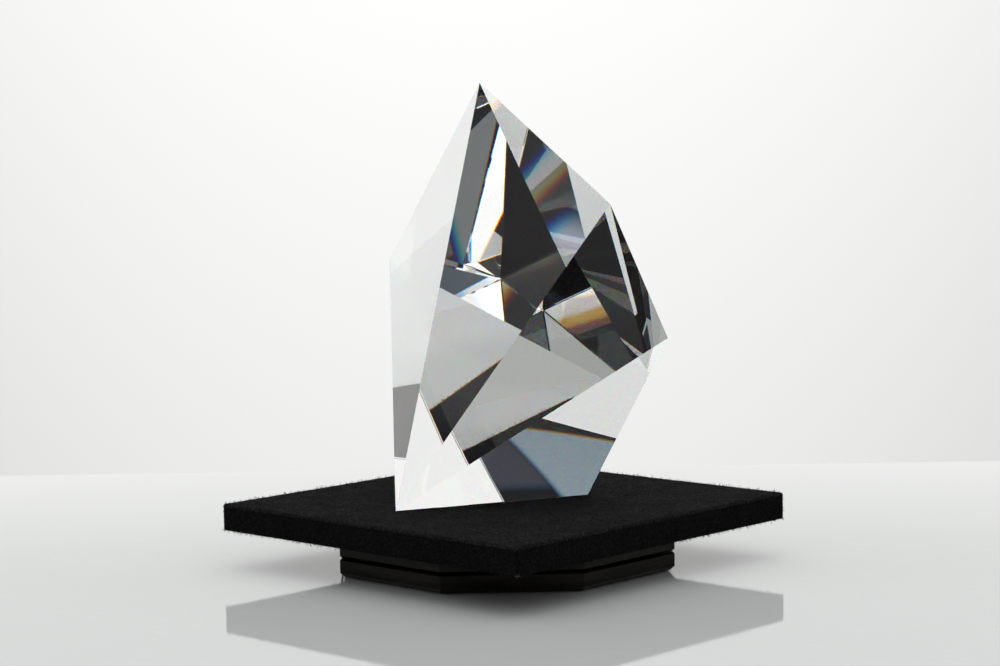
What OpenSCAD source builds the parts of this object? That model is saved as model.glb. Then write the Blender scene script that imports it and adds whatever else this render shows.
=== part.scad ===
// Crystal award: a hand-cut optical crystal peak on a felt-covered display board,
// carried by a low eight-sided turntable of two gloss-black plates.
// Millimetres, +Z up. The origin is on the table, under the centre of the board.
// The board's sides run along X and Y, and the award faces the (+X, -Y) corner.

/* [Display board] */
// Side of the square board, felt included
board_side = 200; // [180:1:240]
// Thickness of the fibreboard core
core_t = 12; // [10:0.5:16]
// Thickness of the black felt
felt_t = 0.7; // [0.5:0.1:1]

/* [Turntable] */
// Width of each eight-sided plate across its flats
plate_across = 164; // [150:1:170]
// Thickness of the lower plate
lower_plate_t = 9; // [8.5:0.1:10]
// Thickness of the upper plate
upper_plate_t = 9; // [8.5:0.1:10]
// Running gap between the two plates
plate_gap = 0.6; // [0.5:0.1:1]
// Bevel along the outer edges of the plates
outer_bevel = 2; // [1:0.1:3.5]
// Bevel along the edges that meet at the running gap
inner_bevel = 0.8; // [0.5:0.1:2.5]

/* [Crystal] */
// Height of the crystal's tip above the felt
tip_h = 208; // [200:0.5:215]
// Distance of the tip to the left of the board's centre
tip_left = 15; // [10:0.5:20]
// Reach of the left corner, out past the board's left side
left_reach = 109; // [100:0.5:112]
// Height of the left corner above the felt
left_h = 115.5; // [105:0.5:125]
// Reach of the upper right corner
shoulder_reach = 70; // [62:0.5:78]
// Height of the upper right corner above the felt
shoulder_h = 148.5; // [140:0.5:158]
// Reach of the lower right corner
hip_reach = 99; // [90:0.5:100]
// Height of the lower right corner above the felt
hip_h = 85; // [75:0.5:95]
// Distance of the back face behind the board's centre, at the felt
back_y = 35.5; // [30:0.5:40]
// Angle that the back face is turned away from the board's back side
back_turn = 7; // [4:0.5:10]
// Angle that the back face leans forward
back_lean = 9.5; // [6:0.5:12]

/* [Ball bearing] */
// Diameter of the bearing balls
ball_d = 5; // [4:0.5:5]
// Number of bearing balls
ball_count = 24; // [12:1:30]
// Radius of the circle through the ball centres
ball_ring_r = 44; // [42:1:45]
// Inner radius of the two steel races
race_inner_r = 37; // [35:1:38]
// Outer radius of the two steel races
race_outer_r = 58; // [57:1:58]
// Radius of the circle through the race screws
race_screw_ring_r = 53; // [52:0.5:53]

/* [Pivot, screws and feet] */
// Diameter of the pivot bolt's shank
pivot_d = 8; // [6:0.5:8]
// Radius of the circle through the board screws
board_screw_ring_r = 68; // [65:1:70]
// Number of screws in each ring
screw_count = 4; // [3:1:6]
// Diameter of the rubber feet
foot_d = 14; // [10:1:14]
// Radius of the circle through the rubber feet
foot_ring_r = 66; // [66:1:68]
// Number of rubber feet
foot_count = 8; // [4:1:8]
// Height that the feet stand out below the lower plate
foot_h = 1; // [0.8:0.1:2]

/* [Hidden] */
$fn = 96;

// Levels, from the table up
lower_z = foot_h;
lower_top = lower_z + lower_plate_t;
upper_z = lower_top + plate_gap;
board_z = upper_z + upper_plate_t;
core_z = board_z + felt_t;
felt_z = core_z + core_t;
board_top = felt_z + felt_t;
core_side = board_side - 2 * felt_t;

// Clearance of a shank in its hole, and of a race in its seat
hole_play = 0.05;
seat_play = 0.2;

// Bearing
ball_z = lower_top + plate_gap / 2;
ball_r = ball_d / 2;
race_inset = 0.2;
race_t = 4.6;
cage_t = 0.6;
cage_half_w = 4;

// Race screws, countersunk M3
race_screw_r = 1.5;
race_head_r = 2.8;
race_head_h = 1.4;
race_screw_l = 6.8;

// Board screws, countersunk 3.6 mm wood screws
board_screw_r = 1.8;
board_head_r = 3.6;
board_head_h = 2.4;
board_screw_l = 18;

// Pivot bolt with a thin hexagon head, its washer and its nut
pivot_r = pivot_d / 2;
hex_across = 13;
hex_r = hex_across / 2 / cos(30);
bolt_head_h = 4;
bolt_head_z = lower_z + 0.4;
bolt_seat_z = bolt_head_z + bolt_head_h;
washer_r = 8;
washer_t = 1.2;
washer_gap = 0.05;
nut_t = 3.6;
nut_seat_z = upper_z + 3.6;
nut_z = nut_seat_z + washer_gap + washer_t;
bolt_end_z = nut_z + nut_t + 0.4;
pocket_r = 9;

// Depth of the feet's seats in the lower plate
foot_seat = 1.5;

// A straight eight-sided prism with its flats along X and Y
module octagon(across, z, t) {
    translate([0, 0, z])
        rotate([0, 0, 22.5])
            cylinder(r = across / 2 / cos(22.5), h = t, $fn = 8);
}

// A square bar laid along each of the eight edges at height z, to cut a 45 degree bevel
module bevel_bars(across, z, bevel) {
    for (i = [0:7])
        rotate([0, 0, 45 * i])
            translate([across / 2, 0, z])
                rotate([0, 45, 0])
                    cube([bevel * sqrt(2), across, bevel * sqrt(2)], center = true);
}

// An eight-sided plate with bevelled lower and upper edges
module plate(z, t, low_bevel, high_bevel) {
    difference() {
        octagon(plate_across, z, t);
        bevel_bars(plate_across, z, low_bevel);
        bevel_bars(plate_across, z + t, high_bevel);
    }
}

// Copies of the children round a circle
module ring_of(count, r, start = 0) {
    for (i = [0:count - 1])
        rotate([0, 0, start + 360 / count * i])
            translate([r, 0, 0])
                children();
}

// A disc between two heights
module disc(r, low, high) {
    translate([0, 0, low])
        cylinder(r = r, h = high - low);
}

// A flat ring between two heights
module ring(inner, outer, low, high) {
    difference() {
        disc(outer, low, high);
        disc(inner, low - 1, high + 1);
    }
}

// A countersunk screw that points up from z = 0, or its hole when play is above 0
module screw(r, head_r, head_h, l, play = 0) {
    cylinder(r = r + play, h = l + play);
    translate([0, 0, -play])
        cylinder(r1 = head_r + play, r2 = r + play, h = head_h);
}

module race_screw(play = 0) {
    screw(race_screw_r, race_head_r, race_head_h, race_screw_l, play);
}

module board_screw(play = 0) {
    screw(board_screw_r, board_head_r, board_head_h, board_screw_l, play);
}

// The rings of screws, placed where they are driven
module lower_race_ring(play = 0) {
    ring_of(screw_count, race_screw_ring_r, 45)
        translate([0, 0, lower_top - race_inset])
            mirror([0, 0, 1])
                race_screw(play);
}

module upper_race_ring(play = 0) {
    ring_of(screw_count, race_screw_ring_r, 45)
        translate([0, 0, upper_z + race_inset])
            race_screw(play);
}

module board_screw_ring(play = 0) {
    ring_of(screw_count, board_screw_ring_r)
        translate([0, 0, upper_z + 0.2])
            board_screw(play);
}

// The round track that the balls run in
module ball_track() {
    translate([0, 0, ball_z])
        rotate_extrude()
            translate([ball_ring_r, 0])
                circle(r = ball_r + hole_play, $fn = 48);
}

// ---- Crystal ----
// A corner of the flat back face, from its place along the board and its height
function on_back(x, z) = [x, back_y - x * tan(back_turn) - z * tan(back_lean), z];

// The facet that stands on the felt: one corner in front and two on the back face
foot_front = [-13, -64, 0];
foot_right = on_back(27.5, 0);
foot_left = on_back(-42.5, 0);

// The other corners, all on the back face
tip = on_back(-tip_left, tip_h);
left_corner = on_back(-left_reach, left_h);
shoulder = on_back(shoulder_reach, shoulder_h);
hip = on_back(hip_reach, hip_h);

// Seven flat facets: foot, back, lower left, and four that fan out from the front foot
crystal_corners = [foot_front, foot_right, foot_left, tip, left_corner, shoulder, hip];
crystal_facets = [
    [0, 1, 2],
    [1, 6, 5, 3, 4, 2],
    [0, 2, 4],
    [0, 4, 3],
    [0, 3, 5],
    [0, 5, 6],
    [0, 6, 1]
];

module crystal_body() {
    color("azure", 0.35)
        translate([0, 0, board_top])
            polyhedron(crystal_corners, crystal_facets, convexity = 2);
}

// ---- Display board ----
module felt_top() {
    color("#1b1b1d")
        translate([-board_side / 2, -board_side / 2, felt_z])
            cube([board_side, board_side, felt_t]);
}

// One mitred strip of felt on the board's edge, turned to face its side
module felt_edge(turn) {
    outer = board_side / 2;
    inner = outer - felt_t;
    color("#151517")
        rotate([0, 0, turn])
            translate([0, 0, board_z])
                linear_extrude(core_t + felt_t)
                    polygon([[-outer, -outer], [outer, -outer], [inner, -inner], [-inner, -inner]]);
}

module felt_edge_front() { felt_edge(0); }
module felt_edge_right() { felt_edge(90); }
module felt_edge_back() { felt_edge(180); }
module felt_edge_left() { felt_edge(270); }

module felt_underside() {
    color("#151517")
        difference() {
            translate([-core_side / 2, -core_side / 2, board_z])
                cube([core_side, core_side, felt_t]);
            board_screw_ring(hole_play);
        }
}

module board_core() {
    color("#8a6a48")
        difference() {
            translate([-core_side / 2, -core_side / 2, core_z])
                cube([core_side, core_side, core_t]);
            board_screw_ring(hole_play);
        }
}

module board_screws() {
    color("goldenrod") board_screw_ring();
}

// ---- Upper half of the turntable ----
module upper_plate() {
    color("#0d0c0b")
        difference() {
            plate(upper_z, upper_plate_t, inner_bevel, outer_bevel);
            ring(race_inner_r - seat_play, race_outer_r + seat_play,
                upper_z - 1, upper_z + race_inset + race_t);
            disc(pivot_r + hole_play, upper_z - 1, nut_seat_z + 1);
            disc(pocket_r, nut_seat_z, board_z + 1);
            upper_race_ring(hole_play);
            board_screw_ring(hole_play);
        }
}

module upper_race() {
    color("#9aa0a6")
        difference() {
            ring(race_inner_r, race_outer_r, upper_z + race_inset,
                upper_z + race_inset + race_t);
            ball_track();
            upper_race_ring(hole_play);
        }
}

module upper_race_screws() {
    color("silver") upper_race_ring();
}

// ---- Balls ----
module ball_cage() {
    color("#c9a24a")
        difference() {
            ring(ball_ring_r - cage_half_w, ball_ring_r + cage_half_w,
                ball_z - cage_t / 2, ball_z + cage_t / 2);
            ring_of(ball_count, ball_ring_r)
                disc(ball_r + 2 * hole_play, 0, board_z);
        }
}

module bearing_balls() {
    color("silver")
        ring_of(ball_count, ball_ring_r)
            translate([0, 0, ball_z])
                sphere(r = ball_r, $fn = 32);
}

// ---- Lower half of the turntable ----
module lower_race() {
    color("#9aa0a6")
        difference() {
            ring(race_inner_r, race_outer_r, lower_top - race_inset - race_t,
                lower_top - race_inset);
            ball_track();
            lower_race_ring(hole_play);
        }
}

module lower_race_screws() {
    color("silver") lower_race_ring();
}

module lower_plate() {
    color("#0d0c0b")
        difference() {
            plate(lower_z, lower_plate_t, outer_bevel, inner_bevel);
            ring(race_inner_r - seat_play, race_outer_r + seat_play,
                lower_top - race_inset - race_t, lower_top + 1);
            disc(pivot_r + hole_play, lower_z - 1, lower_top + 1);
            disc(pocket_r, lower_z - 1, bolt_seat_z);
            lower_race_ring(hole_play);
            ring_of(foot_count, foot_ring_r)
                disc(foot_d / 2, lower_z - 1, lower_z + foot_seat);
        }
}

module pivot_bolt() {
    color("silver") {
        disc(pivot_r, bolt_seat_z - 1, bolt_end_z);
        translate([0, 0, bolt_head_z])
            cylinder(r = hex_r, h = bolt_head_h, $fn = 6);
    }
}

module pivot_washer() {
    color("white")
        ring(pivot_r + hole_play, washer_r, nut_seat_z + washer_gap, nut_z);
}

module pivot_nut() {
    color("silver")
        difference() {
            translate([0, 0, nut_z])
                cylinder(r = hex_r, h = nut_t, $fn = 6);
            disc(pivot_r + hole_play, nut_z - 1, nut_z + nut_t + 1);
        }
}

module rubber_feet() {
    color("#2a2a2a")
        ring_of(foot_count, foot_ring_r)
            disc(foot_d / 2, 0, lower_z + foot_seat);
}

crystal_body();
felt_top();
felt_edge_front();
felt_edge_right();
felt_edge_back();
felt_edge_left();
felt_underside();
board_core();
board_screws();
upper_plate();
upper_race();
upper_race_screws();
ball_cage();
bearing_balls();
lower_race();
lower_race_screws();
lower_plate();
pivot_bolt();
pivot_washer();
pivot_nut();
rubber_feet();
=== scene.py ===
import math
import random

import bmesh
import bpy
from mathutils import Matrix, Vector, noise


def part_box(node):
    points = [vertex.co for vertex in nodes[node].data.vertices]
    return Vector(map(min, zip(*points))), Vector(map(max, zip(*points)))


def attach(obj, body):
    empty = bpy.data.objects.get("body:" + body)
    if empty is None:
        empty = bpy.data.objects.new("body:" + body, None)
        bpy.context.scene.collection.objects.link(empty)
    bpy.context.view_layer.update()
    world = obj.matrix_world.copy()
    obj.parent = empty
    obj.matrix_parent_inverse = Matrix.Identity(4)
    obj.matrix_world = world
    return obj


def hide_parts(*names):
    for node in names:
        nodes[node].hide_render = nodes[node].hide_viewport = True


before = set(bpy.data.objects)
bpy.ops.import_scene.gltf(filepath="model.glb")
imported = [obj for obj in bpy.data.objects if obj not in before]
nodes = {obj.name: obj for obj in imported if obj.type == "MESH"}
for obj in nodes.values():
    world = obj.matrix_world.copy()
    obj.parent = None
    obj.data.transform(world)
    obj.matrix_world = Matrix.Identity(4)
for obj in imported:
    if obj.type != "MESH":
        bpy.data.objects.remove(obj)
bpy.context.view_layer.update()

# The photograph's camera, solved from the board's four top corners (metres, degrees; the
# lens and the sensor in millimetres).
CAMERA_AT = Vector((0.8088, -0.8702, 0.2208))
CAMERA_HEADING = 42.95
CAMERA_PITCH = 5.03
CAMERA_ROLL = -0.85
CAMERA_LENS = 85.9
SENSOR_WIDTH = 36.0

# The felt-covered display board, read from the CAD: half its side, the heights of its top
# and its underside, and how thick the CAD's felt is.
TOP_FELT_LOW, TOP_FELT_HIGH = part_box("felt_top")
HALF_SIDE = TOP_FELT_HIGH.x
TOP_Z = TOP_FELT_HIGH.z
LOW_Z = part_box("felt_edge_front")[0].z

# The crystal: a high-index optical glass. Red and blue part from green by DISPERSION where
# the view enters squarely, less by SLANT_LOSS as it enters at a slant, and never by less
# than LEAST_DISPERSION.
GLASS_IOR = 1.64
DISPERSION = 0.0085
SLANT_LOSS = 0.021
LEAST_DISPERSION = 0.0008
CHAMFER = 0.0005
# How near a corner's height has to be to the felt's top to count as part of the foot.
FOOT_TOLERANCE = 0.00001

# The felt of the visual model: the cloth's thickness, and the radius that it takes round
# the board's edges and corners, and round the edge below.
CLOTH_THICKNESS = 0.00062
ROLL = 0.0015
LOW_ROLL = 0.0006
ROLL_CELLS = 6
# How deep the seam at the board's corners is tucked in.
SEAM_DEPTH = 0.00012

# Loose fibres: how many grow on the top, along each top edge, on each side, along each
# lower edge and up each corner. Then their shortest length, how much longer some are, and
# their widths.
TOP_FIBRES = 9000
TOP_EDGE_FIBRES = 900
SIDE_FIBRES = 1500
LOW_EDGE_FIBRES = 800
CORNER_FIBRES = 90
FIBRE_LENGTH = 0.00025
FIBRE_LENGTH_SPREAD = 0.0006
FIBRE_WIDTHS = (0.00007, 0.00018)
# How many times longer the fibres are along the board's edges and up its corners.
EDGE_SCALE = 2.3
CORNER_SCALE = 1.3
# Fibres that are scaled by more than LONG_SCALE are also wider, so that they show.
LONG_SCALE = 1.2
LONG_WIDENING = 1.7


# ---------------------------------------------------------------- node helpers
def new_material(name):
    """An empty node material, and the graph that fills it."""
    mat = bpy.data.materials.new(name)
    mat.use_nodes = True
    mat.node_tree.nodes.clear()
    return mat, Graph(mat.node_tree)


class Graph:
    """Short calls that add nodes to one node tree."""

    def __init__(self, tree):
        self.tree = tree

    def add(self, kind, **values):
        node = self.tree.nodes.new(kind)
        for key, value in values.items():
            setattr(node, key, value)
        return node

    def plug(self, value, socket):
        """Link a socket, or set a plain value. None leaves the socket as it is."""
        if isinstance(value, bpy.types.NodeSocket):
            self.tree.links.new(value, socket)
        elif value is not None:
            socket.default_value = value

    def math(self, operation, a, b=None, c=None):
        node = self.add("ShaderNodeMath", operation=operation)
        for value, socket in zip((a, b, c), node.inputs):
            self.plug(value, socket)
        return node.outputs[0]

    def object_coords(self):
        return self.add("ShaderNodeTexCoord").outputs["Object"]

    def mapped(self, vector, scale, rotation=(0, 0, 0)):
        node = self.add("ShaderNodeMapping")
        self.plug(vector, node.inputs["Vector"])
        node.inputs["Scale"].default_value = scale
        node.inputs["Rotation"].default_value = rotation
        return node.outputs[0]

    def noise(self, vector, scale, detail=3.0, roughness=0.55, distortion=0.0):
        node = self.add("ShaderNodeTexNoise")
        self.plug(vector, node.inputs["Vector"])
        node.inputs["Scale"].default_value = scale
        node.inputs["Detail"].default_value = detail
        node.inputs["Roughness"].default_value = roughness
        node.inputs["Distortion"].default_value = distortion
        return node.outputs["Fac"]

    def flakes(self, vector, scale):
        """A random grey level for each cell."""
        node = self.add("ShaderNodeTexVoronoi")
        self.plug(vector, node.inputs["Vector"])
        node.inputs["Scale"].default_value = scale
        grey = self.add("ShaderNodeRGBToBW")
        self.plug(node.outputs["Color"], grey.inputs[0])
        return grey.outputs[0]

    def dot(self, vector, direction):
        node = self.add("ShaderNodeVectorMath", operation="DOT_PRODUCT")
        self.plug(vector, node.inputs[0])
        node.inputs[1].default_value = direction
        return node.outputs["Value"]

    def ramp(self, value, *stops):
        """A colour for each value; each stop is (value, colour)."""
        node = self.add("ShaderNodeValToRGB")
        self.plug(value, node.inputs[0])
        elements = node.color_ramp.elements
        while len(elements) < len(stops):
            elements.new(0.5)
        for element, (place, colour) in zip(elements, stops):
            element.position = place
            element.color = (*colour, 1.0)
        return node.outputs[0]

    def spread(self, value, low, high, from_low=0.3, from_high=0.7):
        """The value stretched from one range to another, and held inside it."""
        node = self.add("ShaderNodeMapRange")
        self.plug(value, node.inputs[0])
        for socket, number in zip(node.inputs[1:5], (from_low, from_high, low, high)):
            socket.default_value = number
        return node.outputs[0]

    def mix(self, factor, a, b):
        node = self.add("ShaderNodeMix", data_type="RGBA")
        self.plug(factor, node.inputs[0])
        self.plug(a, node.inputs[6])
        self.plug(b, node.inputs[7])
        return node.outputs[2]

    def bump(self, height, strength, distance):
        node = self.add("ShaderNodeBump")
        node.inputs["Strength"].default_value = strength
        node.inputs["Distance"].default_value = distance
        self.plug(height, node.inputs["Height"])
        return node.outputs[0]

    def principled(self, **inputs):
        node = self.add("ShaderNodeBsdfPrincipled")
        for key, value in inputs.items():
            self.plug(value, node.inputs[key.replace("_", " ")])
        return node.outputs[0]

    def surface(self, shader, target="ALL", active=True):
        out = self.add("ShaderNodeOutputMaterial", target=target)
        self.plug(shader, out.inputs["Surface"])
        out.is_active_output = active


def assign(obj, material):
    """Make this the object's only material."""
    obj.data.materials.clear()
    obj.data.materials.append(material)


# ---------------------------------------------------------------- materials
def glass_material():
    """Polished crystal. Its colours part where the view first enters it."""
    mat, g = new_material("optical_crystal")
    at = g.object_coords()
    tint = g.ramp(
        g.noise(at, 14, 2), (0.3, (0.976, 0.986, 0.986)), (0.7, (0.992, 0.998, 1.0))
    )
    body = g.principled(
        Base_Color=tint, Roughness=0.0, IOR=GLASS_IOR, Transmission_Weight=1.0
    )
    g.surface(body)
    # A slanting entry parts the colours by itself, so less is added there.
    facing = g.add("ShaderNodeLayerWeight").outputs["Facing"]
    facing.node.inputs["Blend"].default_value = 0.5
    spread = g.math("MULTIPLY_ADD", facing, -SLANT_LOSS, DISPERSION)
    spread = g.math("MAXIMUM", spread, LEAST_DISPERSION)
    parted = None
    for colour, shift in (((1, 0, 0), -1), ((0, 1, 0), 0), ((0, 0, 1), 1)):
        glass = g.add("ShaderNodeBsdfGlass")
        glass.inputs["Color"].default_value = (*colour, 1)
        glass.inputs["Roughness"].default_value = 0.0
        g.plug(g.math("MULTIPLY_ADD", spread, shift, GLASS_IOR), glass.inputs["IOR"])
        if parted is None:
            parted = glass.outputs[0]
        else:
            both = g.add("ShaderNodeAddShader")
            g.plug(parted, both.inputs[0])
            g.plug(glass.outputs[0], both.inputs[1])
            parted = both.outputs[0]
    entry = g.add("ShaderNodeMixShader")
    g.plug(g.add("ShaderNodeLightPath").outputs["Is Camera Ray"], entry.inputs[0])
    g.plug(body, entry.inputs[1])
    g.plug(parted, entry.inputs[2])
    g.surface(entry.outputs[0], "CYCLES", False)
    return mat


def felt_material(name, low, middle, high, shine):
    """Pressed black felt: matted clumps, darker pits and a few pale specks of lint."""
    mat, g = new_material(name)
    at = g.object_coords()
    clumps = g.noise(at, 900, 3, 0.65, 0.6)
    patches = g.noise(at, 60, 3)
    fibres = g.noise(at, 2600, 3, 0.7, 1.2)
    mixed = g.math("MULTIPLY_ADD", clumps, 0.75, g.math("MULTIPLY", fibres, 0.25))
    mixed = g.math("MULTIPLY_ADD", patches, 0.16, g.math("SUBTRACT", mixed, 0.08))
    tint = g.ramp(
        mixed,
        (0.38, (low, low, low * 1.03)),
        (0.5, (middle, middle, middle * 1.03)),
        (0.64, (high, high, high * 1.02)),
    )
    lint = g.math("GREATER_THAN", g.noise(at, 620, 1, 0.5, 0.2), 0.79)
    tint = g.mix(g.math("MULTIPLY", lint, 0.6), tint, (high * 4, high * 4, high * 3.9, 1))
    height = g.math("ADD", fibres, g.math("MULTIPLY", clumps, 1.5))
    g.surface(
        g.principled(
            Base_Color=tint,
            Roughness=1.0,
            Specular_IOR_Level=0.02,
            Sheen_Weight=shine,
            Sheen_Roughness=0.5,
            Normal=g.bump(height, 1.0, 0.0009),
        )
    )
    return mat


def fuzz_material(name, low, high):
    """Loose felt fibres, some darker and some paler."""
    mat, g = new_material(name)
    tint = g.ramp(
        g.noise(g.object_coords(), 900, 2),
        (0.35, (low, low, low * 1.05)),
        (0.7, (high, high, high * 1.04)),
    )
    g.surface(
        g.principled(Base_Color=tint, Roughness=0.95, Specular_IOR_Level=0.03)
    )
    return mat


def gloss_black_material():
    """Polished black acrylic, a little wavy and smeared, with faint brown streaks."""
    mat, g = new_material("gloss_black_acrylic")
    at = g.object_coords()
    wave = g.noise(g.mapped(at, (22, 22, 90)), 1, 3, 0.5)
    smear = g.noise(g.mapped(at, (60, 60, 240)), 1, 4, 0.6)
    streaks = g.noise(g.mapped(at, (24, 24, 200)), 1, 4, 0.6, 0.8)
    tint = g.ramp(
        streaks, (0.35, (0.003, 0.0028, 0.0024)), (0.7, (0.02, 0.0165, 0.0095))
    )
    g.surface(
        g.principled(
            Base_Color=tint,
            Roughness=g.spread(smear, 0.08, 0.2),
            IOR=1.49,
            Specular_IOR_Level=0.17,
            Normal=g.bump(wave, 0.4, 0.0012),
        )
    )
    return mat


def fibreboard_material():
    """Raw fibreboard with its pressed chips."""
    mat, g = new_material("raw_fibreboard")
    at = g.object_coords()
    chips = g.noise(g.mapped(at, (500, 500, 1400)), 1, 5, 0.7)
    tint = g.ramp(
        chips, (0.3, (0.16, 0.095, 0.05)), (0.5, (0.3, 0.2, 0.115)), (0.75, (0.42, 0.3, 0.18))
    )
    g.surface(
        g.principled(Base_Color=tint, Roughness=0.9, Normal=g.bump(chips, 0.5, 0.0004))
    )
    return mat


def turned_metal_material(name, low, high, rough):
    """Metal with fine lathe rings round the turntable's axis."""
    ring_pitch = 0.0008
    mat, g = new_material(name)
    at = g.object_coords()
    split = g.add("ShaderNodeSeparateXYZ")
    g.plug(at, split.inputs[0])
    square = g.math("MULTIPLY", split.outputs[0], split.outputs[0])
    radius = g.math(
        "SQRT", g.math("MULTIPLY_ADD", split.outputs[1], split.outputs[1], square)
    )
    rings = g.math("SINE", g.math("MULTIPLY", radius, 2 * math.pi / ring_pitch))
    grain = g.noise(at, 1500, 3, 0.6)
    tint = g.ramp(g.noise(at, 130, 4), (0.3, low), (0.7, high))
    g.surface(
        g.principled(
            Base_Color=tint,
            Metallic=1.0,
            Roughness=g.spread(grain, rough * 0.7, rough * 1.3),
            Normal=g.bump(g.math("ADD", rings, grain), 0.25, 0.00008),
        )
    )
    return mat


def ball_material():
    """Polished steel with light scuffs."""
    mat, g = new_material("bearing_ball_steel")
    at = g.object_coords()
    scuff = g.noise(g.mapped(at, (900, 2600, 900)), 1, 4, 0.65)
    tint = g.ramp(
        g.noise(at, 240, 2), (0.3, (0.6, 0.61, 0.63)), (0.7, (0.8, 0.81, 0.83))
    )
    g.surface(
        g.principled(
            Base_Color=tint, Metallic=1.0, Roughness=g.spread(scuff, 0.06, 0.2)
        )
    )
    return mat


def zinc_material():
    """Zinc plate with its flaky crystals and small dents."""
    mat, g = new_material("zinc_plate")
    at = g.object_coords()
    tint = g.ramp(
        g.flakes(at, 700), (0.2, (0.48, 0.49, 0.5)), (0.8, (0.68, 0.69, 0.68))
    )
    dents = g.noise(at, 1300, 4)
    g.surface(
        g.principled(
            Base_Color=tint,
            Metallic=1.0,
            Roughness=g.spread(dents, 0.25, 0.42),
            Normal=g.bump(dents, 0.3, 0.0001),
        )
    )
    return mat


def plastic_material(name, low, high, rough, bump):
    """Matt plastic or rubber with a fine grain and slow patches of shade."""
    mat, g = new_material(name)
    at = g.object_coords()
    grain = g.noise(at, 900, 4, 0.6)
    g.surface(
        g.principled(
            Base_Color=g.ramp(g.noise(at, 180, 3), (0.3, low), (0.7, high)),
            Roughness=g.spread(grain, rough * 0.85, min(1.0, rough * 1.15)),
            Normal=g.bump(grain, bump, 0.0002),
        )
    )
    return mat


def table_material():
    """White acrylic with faint scratches, and painted light that makes it paler to the back
    and the left.
    """
    mat, g = new_material("white_acrylic_table")
    at = g.object_coords()
    # Painted light: the colour gets paler toward the table's back and near its left end, in
    # place of the light that falls there; the noise adds a faint random haze of tone.
    painted_left_light = g.spread(g.dot(at, compass(-90, 0)), 0, 0.22, 0.245, 0.29)
    painted_light_and_haze = g.math("MULTIPLY_ADD", g.noise(at, 9, 3), 0.06, g.dot(at, compass(0, 0)))
    painted_light_and_haze = g.math("MAXIMUM", painted_light_and_haze, painted_left_light)
    tint = g.ramp(
        g.math("ADD", painted_light_and_haze, 0.47),
        (0.1, (0.575, 0.61, 0.597)),
        (0.55, (0.745, 0.77, 0.758)),
        (0.85, (0.95, 0.965, 0.953)),
    )
    lines = g.noise(g.mapped(at, (60, 1500, 1), (0, 0, 0.9)), 1, 2, 0.6, 0.3)
    patches = g.spread(g.noise(at, 30, 2), 0, 0.5, 0.45, 0.65)
    worn = g.math("MULTIPLY", g.spread(lines, 0, 1, 0.6, 0.7), patches)
    tint = g.mix(worn, tint, (0.95, 0.96, 0.955, 1))
    g.surface(
        g.principled(
            Base_Color=tint,
            Roughness=g.spread(g.noise(at, 40, 3), 0.03, 0.05),
            IOR=1.49,
            Specular_IOR_Level=0.36,
        )
    )
    return mat


# ---------------------------------------------------------------- camera
def make_camera():
    """The photograph's camera."""
    data = bpy.data.cameras.new("photo_camera")
    data.sensor_width = SENSOR_WIDTH
    data.lens = CAMERA_LENS
    data.clip_start = 0.05
    data.clip_end = 50
    camera = bpy.data.objects.new("photo_camera", data)
    bpy.context.scene.collection.objects.link(camera)
    camera.matrix_world = (
        Matrix.Translation(CAMERA_AT)
        @ Matrix.Rotation(math.radians(CAMERA_HEADING), 4, "Z")
        @ Matrix.Rotation(math.radians(90 - CAMERA_PITCH), 4, "X")
        @ Matrix.Rotation(math.radians(CAMERA_ROLL), 4, "Z")
    )
    bpy.context.scene.camera = camera


# ---------------------------------------------------------------- studio
def compass(azimuth, elevation):
    """A unit direction: azimuth 0 is away from the photographer, 90 to the right."""
    heading = math.radians(STUDIO_HEADING - azimuth)
    rise = math.radians(elevation)
    level = math.cos(rise)
    return Vector((-math.sin(heading) * level, math.cos(heading) * level, math.sin(rise)))


# The heading of the studio's azimuth 0 in degrees, within a degree of the camera's.
STUDIO_HEADING = 43.5

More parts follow.
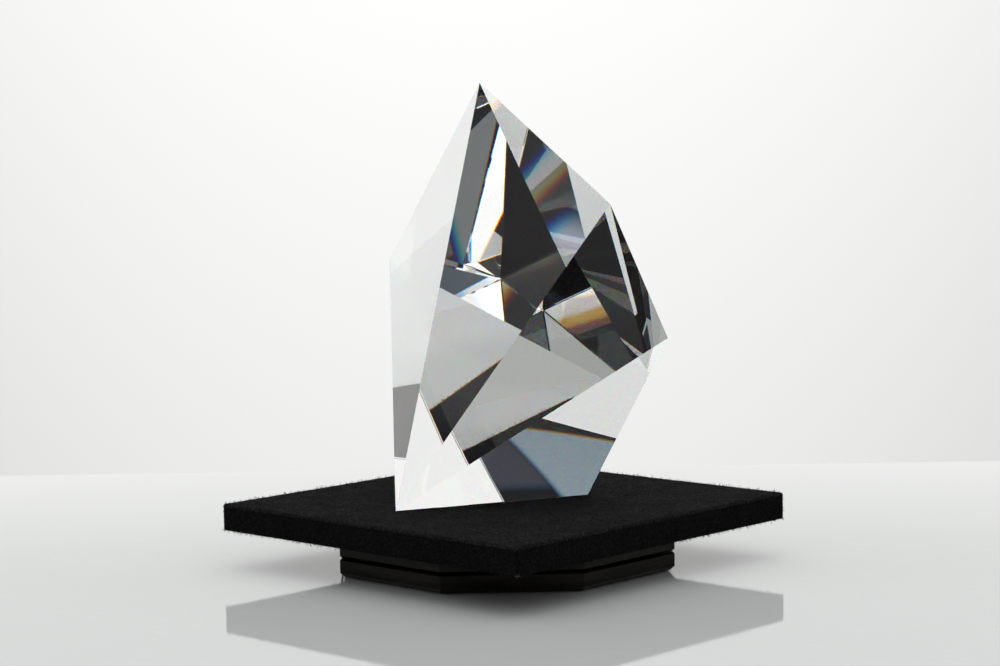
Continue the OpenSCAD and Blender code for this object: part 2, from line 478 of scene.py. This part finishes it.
# Flat panels of the studio that the crystal and the gloss see: four corners, each
# (azimuth, elevation) in degrees, the half width of the soft edge, and the colour. The
# brightest panel shows where several overlap. With twenty panels Cycles draws the whole
# picture black, so there have to be fewer.
PANELS = [
    ([(-62, -45), (68, -45), (66, 0.5), (-60, 0.5)], 0.05, (0.86, 0.865, 0.855)),
    ([(-60, -4), (66, -4), (64, 12), (-52, 38)], 0.03, (0.95, 0.95, 0.94)),
    ([(-44, 40), (40, 34), (44, 66), (-60, 72)], 0.02, (1.1, 1.1, 1.08)),
    ([(-145, 80), (112.5, 68.5), (45, 59), (-15.2, 67.5)], 0.008, (1.5, 1.5, 1.46)),
    ([(-51.6, 72.4), (145.6, 72.4), (97.2, 67.1), (-3.2, 67.1)], 0.012, (0.95, 0.94, 0.9)),
    ([(-57, 71), (151, 71), (97.2, 67.1), (-3.2, 67.1)], 0.02, (0.78, 0.52, 0.1)),
    ([(-63, 70), (157, 70), (97.2, 67.1), (-3.2, 67.1)], 0.03, (0.3, 0.08, 0.01)),
    ([(68, 16), (109.2, 16), (109.2, 56), (68, 54)], 0.008, (0.38, 0.39, 0.38)),
    ([(-149.5, 43.5), (-130, 43.5), (-130, 58), (-148, 58)], 0.008, (1.05, 1.15, 1.2)),
    ([(-124, 22), (-104, 22), (-104, 46), (-124, 46)], 0.02, (0.29, 0.3, 0.3)),
    ([(-80, 34), (-55, 34), (-52, 55), (-78, 55)], 0.02, (0.1, 0.12, 0.14)),
    ([(-122, -34), (-92, -34), (-92, -15), (-122, -15)], 0.02, (0.6, 0.62, 0.62)),
    ([(-122, -17), (-90, -17), (-90, -6), (-122, -6)], 0.02, (0.455, 0.465, 0.445)),
    ([(121, -5), (150, -5), (150, 4), (121, -0.1)], 0.002, (0.17, 0.18, 0.18)),
    ([(120.4, -16), (127, -16), (127, -10.1), (120.4, -10.1)], 0.01, (0.42, 0.43, 0.5)),
    ([(117.3, -12), (118.6, -12), (118.6, -5), (117.3, -5)], 0.005, (0.18, 0.185, 0.19)),
    ([(-93, 38), (-87.1, 38), (-87.25, 43.95), (-93, 42.7)], 0.0022, (0.33, 0.41, 0.47)),
    ([(-87.3, 40.7), (-80, 40.2), (-80, 46), (-87.3, 46)], 0.006, (0.075, 0.08, 0.1)),
]
# What shows between the panels.
PANEL_DARK = 0.02
# Half the spread of the colours along a panel's edge, as the crystal's dispersion draws it.
FRINGE = 0.0005

# The light on matt surfaces: its strength, then how it rises with height from its level at
# the horizon, and its least share below.
SOFT_LIGHT = 0.86
SOFT_RISE = 1.25
SOFT_HORIZON = 0.12
SOFT_LEAST = 0.04

# The backdrop: its brightness straight ahead, how much brighter it gets upward and how
# much darker to the sides, each up to a limit (radians, or square radians to the sides).
BACKDROP_LEVEL = 0.965
BACKDROP_RISE = 0.72
BACKDROP_LOWEST = -0.25
BACKDROP_HIGHEST = 0.06
BACKDROP_FALL = 2.5
BACKDROP_WIDEST = 0.045

# The table top, in metres: how far it reaches from the award's middle to the back, to the
# front and to the sides, and its thickness.
TABLE_BACK = 0.33
TABLE_FRONT = 0.9
TABLE_LEFT = 0.345
TABLE_RIGHT = 0.335
TABLE_THICKNESS = 0.012


def panel_light(g, way, corners, soft, light):
    """What one flat panel shows along way, with its edges coloured a little."""
    ring = [compass(*corner) for corner in corners]
    middle = (ring[0] + ring[1] + ring[2] + ring[3]).normalized()
    # The colours part most across this direction: to the right and up.
    slant = (compass(90, 0) * 0.8 + Vector((0, 0, 0.6))).normalized()
    level = None
    for i in range(4):
        inward = ring[i].cross(ring[(i + 1) % 4]).normalized()
        if inward.dot(middle) < 0:
            inward = -inward
        shift = FRINGE * inward.dot(slant)
        edge = g.add(
            "ShaderNodeMapRange", data_type="FLOAT_VECTOR", interpolation_type="SMOOTHSTEP"
        )
        g.plug(g.dot(way, inward), edge.inputs[6])
        edge.inputs[7].default_value = [k * shift - soft for k in (-1, 0, 1)]
        edge.inputs[8].default_value = [k * shift + soft for k in (-1, 0, 1)]
        edge.inputs[10].default_value = (1, 1, 1)
        if level is None:
            level = edge.outputs["Vector"]
        else:
            both = g.add("ShaderNodeVectorMath", operation="MULTIPLY")
            g.plug(level, both.inputs[0])
            g.plug(edge.outputs["Vector"], both.inputs[1])
            level = both.outputs[0]
    lit = g.add("ShaderNodeVectorMath", operation="MULTIPLY")
    g.plug(level, lit.inputs[0])
    lit.inputs[1].default_value = light
    return lit.outputs[0]


def backdrop_light(g, way):
    """The pale backdrop behind the award, brightest in the middle and toward the top."""
    side = g.math("ARCTAN2", g.dot(way, compass(90, 0)), g.dot(way, compass(0, 0)))
    wide = g.math("MINIMUM", g.math("MULTIPLY", side, side), BACKDROP_WIDEST)
    fall = g.math("MULTIPLY", wide, BACKDROP_FALL)
    height = g.math("ARCSINE", g.dot(way, (0, 0, 1)))
    height = g.math("MINIMUM", g.math("MAXIMUM", height, BACKDROP_LOWEST), BACKDROP_HIGHEST)
    level = g.math("MULTIPLY_ADD", height, BACKDROP_RISE, BACKDROP_LEVEL)
    level = g.math("SUBTRACT", level, fall)
    tint = g.add("ShaderNodeVectorMath", operation="SCALE")
    tint.inputs[0].default_value = (0.998, 1.0, 0.992)
    g.plug(level, tint.inputs["Scale"])
    return tint.outputs[0]


def make_world():
    """Soft even light for matt surfaces, panels for gloss and glass, a pale backdrop."""
    world = bpy.data.worlds.new("studio")
    bpy.context.scene.world = world
    world.cycles.sampling_method = "NONE"
    world.use_nodes = True
    world.node_tree.nodes.clear()
    g = Graph(world.node_tree)
    way = g.add("ShaderNodeTexCoord").outputs["Generated"]
    path = g.add("ShaderNodeLightPath")

    panels = (PANEL_DARK, PANEL_DARK, PANEL_DARK)
    for corners, soft, light in PANELS:
        brighter = g.add("ShaderNodeVectorMath", operation="MAXIMUM")
        g.plug(panel_light(g, way, corners, soft, light), brighter.inputs[0])
        g.plug(panels, brighter.inputs[1])
        panels = brighter.outputs[0]

    def background(colour):
        node = g.add("ShaderNodeBackground")
        g.plug(colour, node.inputs["Color"])
        return node.outputs[0]

    def choose(test, no, yes):
        node = g.add("ShaderNodeMixShader")
        g.plug(path.outputs[test], node.inputs[0])
        g.plug(no, node.inputs[1])
        g.plug(yes, node.inputs[2])
        return node.outputs[0]

    above = g.math("MULTIPLY_ADD", g.dot(way, (0, 0, 1)), SOFT_RISE, SOFT_HORIZON)
    above = g.math("MAXIMUM", above, SOFT_LEAST)
    soft = background(g.math("MULTIPLY", above, SOFT_LIGHT))
    seen = background(backdrop_light(g, way))
    light = choose("Is Diffuse Ray", background(panels), soft)
    out = g.add("ShaderNodeOutputWorld")
    g.plug(choose("Is Camera Ray", light, seen), out.inputs["Surface"])


def make_table():
    """A glossy white table top that ends a short way behind the award."""
    turn = CAMERA_HEADING - STUDIO_HEADING
    away = compass(-turn, 0)
    right = compass(90 - turn, 0)
    drop = Vector((0, 0, TABLE_THICKNESS))
    corners = [
        (-TABLE_LEFT, -TABLE_FRONT),
        (TABLE_RIGHT, -TABLE_FRONT),
        (TABLE_RIGHT, TABLE_BACK),
        (-TABLE_LEFT, TABLE_BACK),
    ]
    bm = bmesh.new()
    low = [bm.verts.new(right * x + away * y - drop) for x, y in corners]
    high = [bm.verts.new(right * x + away * y) for x, y in corners]
    bm.faces.new(high)
    bm.faces.new(low[::-1])
    for i in range(4):
        j = (i + 1) % 4
        bm.faces.new([low[i], low[j], high[j], high[i]])
    table = link("table_top", bm, False)
    assign(table, table_material())


# ---------------------------------------------------------------- pieces
def link(name, bm, smooth=True):
    """A new object in the scene, made from a bmesh."""
    mesh = bpy.data.meshes.new(name)
    bm.to_mesh(mesh)
    bm.free()
    if smooth:
        mesh.shade_smooth()
    obj = bpy.data.objects.new(name, mesh)
    bpy.context.scene.collection.objects.link(obj)
    return obj


def chamfer(bm, low, high, first, second, reach):
    """Cut one edge away by a flat face that reaches this far along both its facets."""
    way = (first + second).normalized()
    depth = reach * math.sin(first.angle(second) / 2)
    cut = bmesh.ops.bisect_plane(
        bm,
        geom=bm.verts[:] + bm.edges[:] + bm.faces[:],
        plane_co=(low + high) / 2 - way * depth,
        plane_no=way,
        clear_outer=True,
    )
    rim = [e for e in cut["geom_cut"] if isinstance(e, bmesh.types.BMEdge)]
    bmesh.ops.edgenet_fill(bm, edges=rim)


def make_crystal():
    """The crystal, with fine chamfers round its foot and along its rear left edge."""
    weld_distance = 0.000001
    flat_angle = math.radians(0.5)
    bm = bmesh.new()
    bm.from_mesh(nodes["crystal_body"].data)
    bmesh.ops.remove_doubles(bm, verts=bm.verts, dist=weld_distance)
    bmesh.ops.dissolve_limit(
        bm, angle_limit=flat_angle, verts=bm.verts, edges=bm.edges
    )
    # The edges to cut run round the foot, and from the left corner down to the foot's rear.
    low = [v for v in bm.verts if v.co.z < TOP_Z + FOOT_TOLERANCE]
    left = min(bm.verts, key=lambda v: v.co.x)
    rear = min(low, key=lambda v: v.co.x)
    cuts = []
    for edge in bm.edges:
        ends = set(edge.verts)
        if ends <= set(low) or ends == {left, rear}:
            corners = [v.co.copy() for v in edge.verts]
            facets = [f.normal.copy() for f in edge.link_faces]
            cuts.append((*corners, *facets))
    for cut in cuts:
        chamfer(bm, *cut, CHAMFER)
    bmesh.ops.recalc_face_normals(bm, faces=bm.faces[:])
    crystal = link("crystal_peak", bm, False)
    assign(crystal, glass_material())
    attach(crystal, "turntable")
    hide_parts("crystal_body")


# ---------------------------------------------------------------- felt
def roll_point(x, y, r):
    """Where a point of the flat top sheet goes once the sheet is rolled over the edges."""
    flat = HALF_SIDE - r
    over_x, over_y = max(0.0, abs(x) - flat), max(0.0, abs(y) - flat)
    centre = Vector((min(abs(x), flat), min(abs(y), flat), 0))
    over = max(over_x, over_y)
    if over > 0:
        if over_x >= over_y:
            angle = math.pi / 4 * over_y / over_x
        else:
            angle = math.pi / 2 - math.pi / 4 * over_x / over_y
        out = Vector((math.cos(angle), math.sin(angle), 0)) * r * math.sin(over / r)
        centre += out - Vector((0, 0, r * (1 - math.cos(over / r))))
    return Vector((math.copysign(centre.x, x), math.copysign(centre.y, y), centre.z))


def pile(point, size=0.00012):
    """Small bumps of the felt's surface."""
    return size * (
        noise.noise(point * 260) + 0.6 * noise.noise(point * 900 + Vector((7, 3, 1)))
    )


def finish_cloth(obj, material, node):
    """Give a sheet its thickness and its felt, and let it stand for one CAD node."""
    assign(obj, material)
    thick = obj.modifiers.new("cloth", "SOLIDIFY")
    thick.thickness = CLOTH_THICKNESS
    thick.offset = -1
    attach(obj, "turntable")
    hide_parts(node)


def grid_object(name, rows):
    """A sheet from rows of points."""
    bm = bmesh.new()
    grid = [[bm.verts.new(p) for p in row] for row in rows]
    for low, high in zip(grid, grid[1:]):
        for i in range(len(low) - 1):
            bm.faces.new([low[i], low[i + 1], high[i + 1], high[i]])
    return link(name, bm)


def make_felt_top(material):
    """The top sheet, rolled over the board's edges and pressed flat under the crystal."""
    flat_cells = 70
    # How far the cloth's face lies below the CAD's, in the open and near the crystal.
    sunk = 0.0001
    pressed = 0.00006
    pressed_margin = 0.001
    flat = HALF_SIDE - ROLL
    steps = [ROLL * math.pi / 2 * (1 - i / ROLL_CELLS) for i in range(ROLL_CELLS)]
    line = [-flat - step for step in steps]
    line += [-flat + 2 * flat * i / flat_cells for i in range(flat_cells + 1)]
    line += [flat + step for step in reversed(steps)]
    rows = []
    for y in line:
        row = []
        for x in line:
            p = roll_point(x, y, ROLL)
            p.z += TOP_Z
            lift = pile(p) - sunk
            if under_crystal(p.x, p.y, pressed_margin):
                lift = -pressed
            p.z += lift
            row.append(p)
        rows.append(row)
    sheet = grid_object("felt_top_sheet", rows)
    side = 2 * line[-1]
    finish_cloth(sheet, material, "felt_top")
    return sheet, (side, side)


def make_felt_edge(name, turn, material):
    """The felt on one side of the board, from corner to corner, turned in below."""
    # How far the cloth's face lies inside the CAD's, and how far it goes up under the roll
    # of the top sheet.
    inset = 0.00005
    under_top_sheet = 0.0003
    length_cells = 60
    height_cells = 8
    low_roll_cells = 4
    flat = HALF_SIDE - ROLL
    # Along the board: the centre of each arc, the angle on it and how far it is tucked in.
    plan = []
    for i in range(ROLL_CELLS + 1):
        part = i / ROLL_CELLS
        plan.append((-flat, 225 + 45 * part, SEAM_DEPTH * (1 - part) ** 4))
    for i in range(1, length_cells):
        plan.append((-flat + 2 * flat * i / length_cells, 270, 0))
    for i in range(ROLL_CELLS + 1):
        part = i / ROLL_CELLS
        plan.append((flat, 270 + 45 * part, SEAM_DEPTH * part**4))
    # Down the board: the height, and how far the felt is turned in there.
    top = TOP_Z - ROLL + under_top_sheet
    low = LOW_Z + LOW_ROLL
    profile = [(top + (low - top) * i / height_cells, 0) for i in range(height_cells + 1)]
    for i in range(1, low_roll_cells + 1):
        a = math.pi / 2 * i / low_roll_cells
        profile.append((low - LOW_ROLL * math.sin(a), LOW_ROLL * (1 - math.cos(a))))
    spin = Matrix.Rotation(math.radians(turn), 4, "Z")
    rows = []
    for z, inward in reversed(profile):
        row = []
        for x, angle, tuck in plan:
            a = math.radians(angle)
            r = ROLL - inset - inward - tuck
            p = Vector((x + r * math.cos(a), -flat + r * math.sin(a), z))
            bumps = pile(p + Vector((turn, 0, 0)), 0.00009)
            p += Vector((math.cos(a), math.sin(a), 0)) * bumps
            row.append(spin @ p)
        rows.append(row)
    sheet = grid_object("felt_" + name + "_strip", rows)
    finish_cloth(sheet, material, "felt_edge_" + name)
    return sheet


def make_felt_under(material):
    """The underside felt: the solid with its own holes, cut finer and made uneven."""
    cell = 0.005
    cuts_each_way = 19
    # The lower face is what lies this near to the lowest point. It is lifted a little, so
    # that its bumps stay inside the CAD's face.
    low_tolerance = 0.0001
    lift = 0.00012
    bm = bmesh.new()
    bm.from_mesh(nodes["felt_underside"].data)
    for axis in ((1, 0, 0), (0, 1, 0)):
        for i in range(-cuts_each_way, cuts_each_way + 1):
            bmesh.ops.bisect_plane(
                bm,
                geom=bm.verts[:] + bm.edges[:] + bm.faces[:],
                plane_co=Vector(axis) * i * cell,
                plane_no=axis,
            )
    low = min(v.co.z for v in bm.verts)
    for v in bm.verts:
        if v.co.z < low + low_tolerance:
            v.co.z += lift + pile(v.co, 0.0001)
    sheet = link("felt_under_sheet", bm, False)
    assign(sheet, material)
    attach(sheet, "turntable")
    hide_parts("felt_underside")
    return sheet


def foot_triangle():
    """The three corners of the crystal's foot, read from the CAD."""
    ring = {}
    for v in nodes["crystal_body"].data.vertices:
        if abs(v.co.z - TOP_Z) < FOOT_TOLERANCE:
            ring[(round(v.co.x, 5), round(v.co.y, 5))] = v.co.copy()
    return list(ring.values())


# The crystal's foot, which the felt and its fibres keep clear of.
FOOT = foot_triangle()
FOOT_MIDDLE = sum(FOOT, Vector()) / len(FOOT)


def under_crystal(x, y, margin):
    """Whether a point of the felt lies under the crystal's foot, or near it."""
    for i in range(3):
        a, b = FOOT[i], FOOT[(i + 1) % 3]
        n = Vector((b.y - a.y, a.x - b.x, 0)).normalized()
        if n.dot(FOOT_MIDDLE - a) < 0:
            n = -n
        if n.dot(Vector((x, y, TOP_Z)) - a) < -margin:
            return False
    return True


def hair(bm, root, way, length, width, rng):
    """One loose fibre, a thin bent blade of two triangles."""
    most_bend = 0.35
    wide_until = 0.55
    side = way.cross(Vector((rng.uniform(-1, 1), rng.uniform(-1, 1), rng.uniform(-1, 1))))
    side = side.normalized() * width / 2
    bend = side.cross(way).normalized() * length * rng.uniform(-most_bend, most_bend)
    middle = root + way * length * wide_until
    tip = root + way * length + bend
    a, b = bm.verts.new(root - side), bm.verts.new(root + side)
    c, d = bm.verts.new(middle), bm.verts.new(tip)
    bm.faces.new([a, b, c])
    bm.faces.new([c, b, d])


def make_fuzz(name, sites, material, seed):
    """Fibres at random sites; each site gives a root, an outward way and a length scale."""
    root_depth = 0.00008
    lean_share = 0.55
    least_outward = 0.1
    rng = random.Random(seed)
    bm = bmesh.new()
    for root, out, scale in sites(rng):
        lean = Vector((rng.gauss(0, 1), rng.gauss(0, 1), rng.gauss(0, 1))) * lean_share
        way = (out + lean).normalized()
        if way.dot(out) < least_outward:
            way = (way + out).normalized()
        length = scale * (FIBRE_LENGTH + FIBRE_LENGTH_SPREAD * rng.random() ** 2.2)
        width = rng.uniform(*FIBRE_WIDTHS) * (LONG_WIDENING if scale > LONG_SCALE else 1.0)
        hair(bm, root - out * root_depth, way, length, width, rng)
    fuzz = link(name, bm)
    assign(fuzz, material)
    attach(fuzz, "turntable")
    return fuzz


def top_sites(rng):
    """Fibres on the board's top, clear of the crystal's foot, and over its four edges."""
    foot_margin = 0.0006
    cloth_z = TOP_Z - 0.0001
    reach = HALF_SIDE - ROLL
    for _ in range(TOP_FIBRES):
        x = rng.uniform(-reach, reach)
        y = rng.uniform(-reach, reach)
        if not under_crystal(x, y, foot_margin):
            yield Vector((x, y, cloth_z)), Vector((0, 0, 1)), 1.0
    for turn in range(4):
        spin = Matrix.Rotation(math.pi / 2 * turn, 4, "Z")
        for _ in range(TOP_EDGE_FIBRES):
            along = rng.uniform(-HALF_SIDE, HALF_SIDE)
            a = rng.uniform(0.1, 1.4)
            out = Vector((0, -math.sin(a), math.cos(a)))
            centre = Vector((along, -HALF_SIDE + ROLL, TOP_Z - ROLL))
            if abs(along) < HALF_SIDE - ROLL:
                yield spin @ (centre + out * ROLL), spin @ out, EDGE_SCALE


def side_sites(turn):
    """Fibres on one side of the board, along its lower edge and up one of its corners."""
    above_low_edge = 0.0004
    seam_inset = 0.0002

    def sites(rng):
        spin = Matrix.Rotation(math.radians(turn), 4, "Z")
        for _ in range(SIDE_FIBRES):
            along = rng.uniform(-HALF_SIDE, HALF_SIDE)
            z = rng.uniform(LOW_Z + above_low_edge, TOP_Z - ROLL)
            yield spin @ Vector((along, -HALF_SIDE, z)), spin @ Vector((0, -1, 0)), 1.0
        for _ in range(LOW_EDGE_FIBRES):
            along = rng.uniform(-HALF_SIDE, HALF_SIDE)
            a = rng.uniform(0.5, 1.5)
            out = Vector((0, -math.cos(a), -math.sin(a)))
            centre = Vector((along, -HALF_SIDE + LOW_ROLL, LOW_Z + LOW_ROLL))
            yield spin @ (centre + out * LOW_ROLL), spin @ out, EDGE_SCALE
        for _ in range(CORNER_FIBRES):
            z = rng.uniform(LOW_Z, TOP_Z - ROLL)
            out = Vector((1, -1, 0)).normalized()
            centre = Vector((HALF_SIDE - ROLL, -HALF_SIDE + ROLL, z))
            yield spin @ (centre + out * (ROLL - seam_inset)), spin @ out, CORNER_SCALE

    return sites


def tuft_sites(rng):
    """Pale fibres that stand out at the foot and the head of the near corner's seam."""
    seam_inset = 0.0003
    tuft_spread = 0.0004
    # Each tuft's height, how many fibres it has, and how many times longer they are.
    foot_tuft = (LOW_Z + 0.0004, 26, 2.6)
    head_tuft = (TOP_Z - ROLL, 9, 1.6)
    out = Vector((1, -1, 0)).normalized()
    side = Vector((1, 1, 0)).normalized()
    base = Vector((HALF_SIDE - ROLL, -HALF_SIDE + ROLL, 0)) + out * (ROLL - seam_inset)
    for z, count, scale in (foot_tuft, head_tuft):
        for _ in range(count):
            at = base + side * rng.gauss(0, tuft_spread) + Vector((0, 0, z))
            yield at, (out + Vector((0, 0, -0.5))).normalized(), scale


def make_felt():
    """All the cloth of the board, with loose fibres on its top and its sides."""
    top_cloth = felt_material("felt_top", 0.0038, 0.0145, 0.045, 0.024)
    # The felt of the sides and the underside has darker colours than the top's: painted
    # shade, for the lesser light on the board's sides and underside.
    shaded_edge_cloth = felt_material("felt_edge", 0.004, 0.009, 0.02, 0.005)
    fuzz = fuzz_material("felt_fuzz", 0.006, 0.06)
    # The side fibres are darker than the top's too: painted shade.
    shaded_side_fuzz = fuzz_material("felt_side_fuzz_painted_shade", 0.004, 0.022)
    top, flat = make_felt_top(top_cloth)
    loose = make_fuzz("felt_top_fuzz", top_sites, fuzz, 11)
    for i, name in enumerate(("front", "right", "back", "left")):
        strip = make_felt_edge(name, 90 * i, shaded_edge_cloth)
        pieces = [make_fuzz("felt_" + name + "_fuzz", side_sites(90 * i), shaded_side_fuzz, 21 + i)]
        if name == "front":
            pale = fuzz_material("felt_tuft", 0.12, 0.4)
            pieces.append(make_fuzz("felt_corner_tuft", tuft_sites, pale, 31))
    under = make_felt_under(shaded_edge_cloth)


def ease_edges(name):
    """A hair of rounding on a hard plate's edges, so that they catch the light."""
    bevel = nodes[name].modifiers.new("eased", "BEVEL")
    bevel.width = 0.0003
    bevel.segments = 2
    bevel.limit_method = "ANGLE"
    bevel.angle_limit = math.radians(30)


def dress_cad_nodes():
    """Materials for the CAD nodes that stay in view as they are."""
    steel = turned_metal_material(
        "race_steel", (0.42, 0.43, 0.45), (0.6, 0.61, 0.63), 0.28
    )
    brass = turned_metal_material("cage_brass", (0.5, 0.33, 0.12), (0.76, 0.55, 0.26), 0.3)
    black = gloss_black_material()
    zinc = zinc_material()
    looks = {
        "upper_plate": black,
        "lower_plate": black,
        "upper_race": steel,
        "lower_race": steel,
        "ball_cage": brass,
        "bearing_balls": ball_material(),
        "board_core": fibreboard_material(),
        "pivot_washer": plastic_material(
            "nylon", (0.7, 0.69, 0.65), (0.82, 0.81, 0.77), 0.5, 0.15
        ),
        "rubber_feet": plastic_material(
            "foot_rubber", (0.012, 0.012, 0.012), (0.035, 0.035, 0.036), 0.75, 0.5
        ),
    }
    for name, obj in nodes.items():
        if name != "crystal_body" and not name.startswith("felt_"):
            assign(obj, looks.get(name, zinc))
    for name in ("upper_plate", "lower_plate"):
        ease_edges(name)


make_camera()
make_world()
make_table()
make_crystal()
make_felt()
dress_cad_nodes()

scene = bpy.context.scene
scene.view_settings.view_transform = "Standard"
scene.view_settings.look = "None"
# Light is reflected many times inside the crystal before it gets out.
scene.cycles.max_bounces = 48
scene.cycles.transmission_bounces = 16
scene.cycles.glossy_bounces = 40
scene.cycles.diffuse_bounces = 4
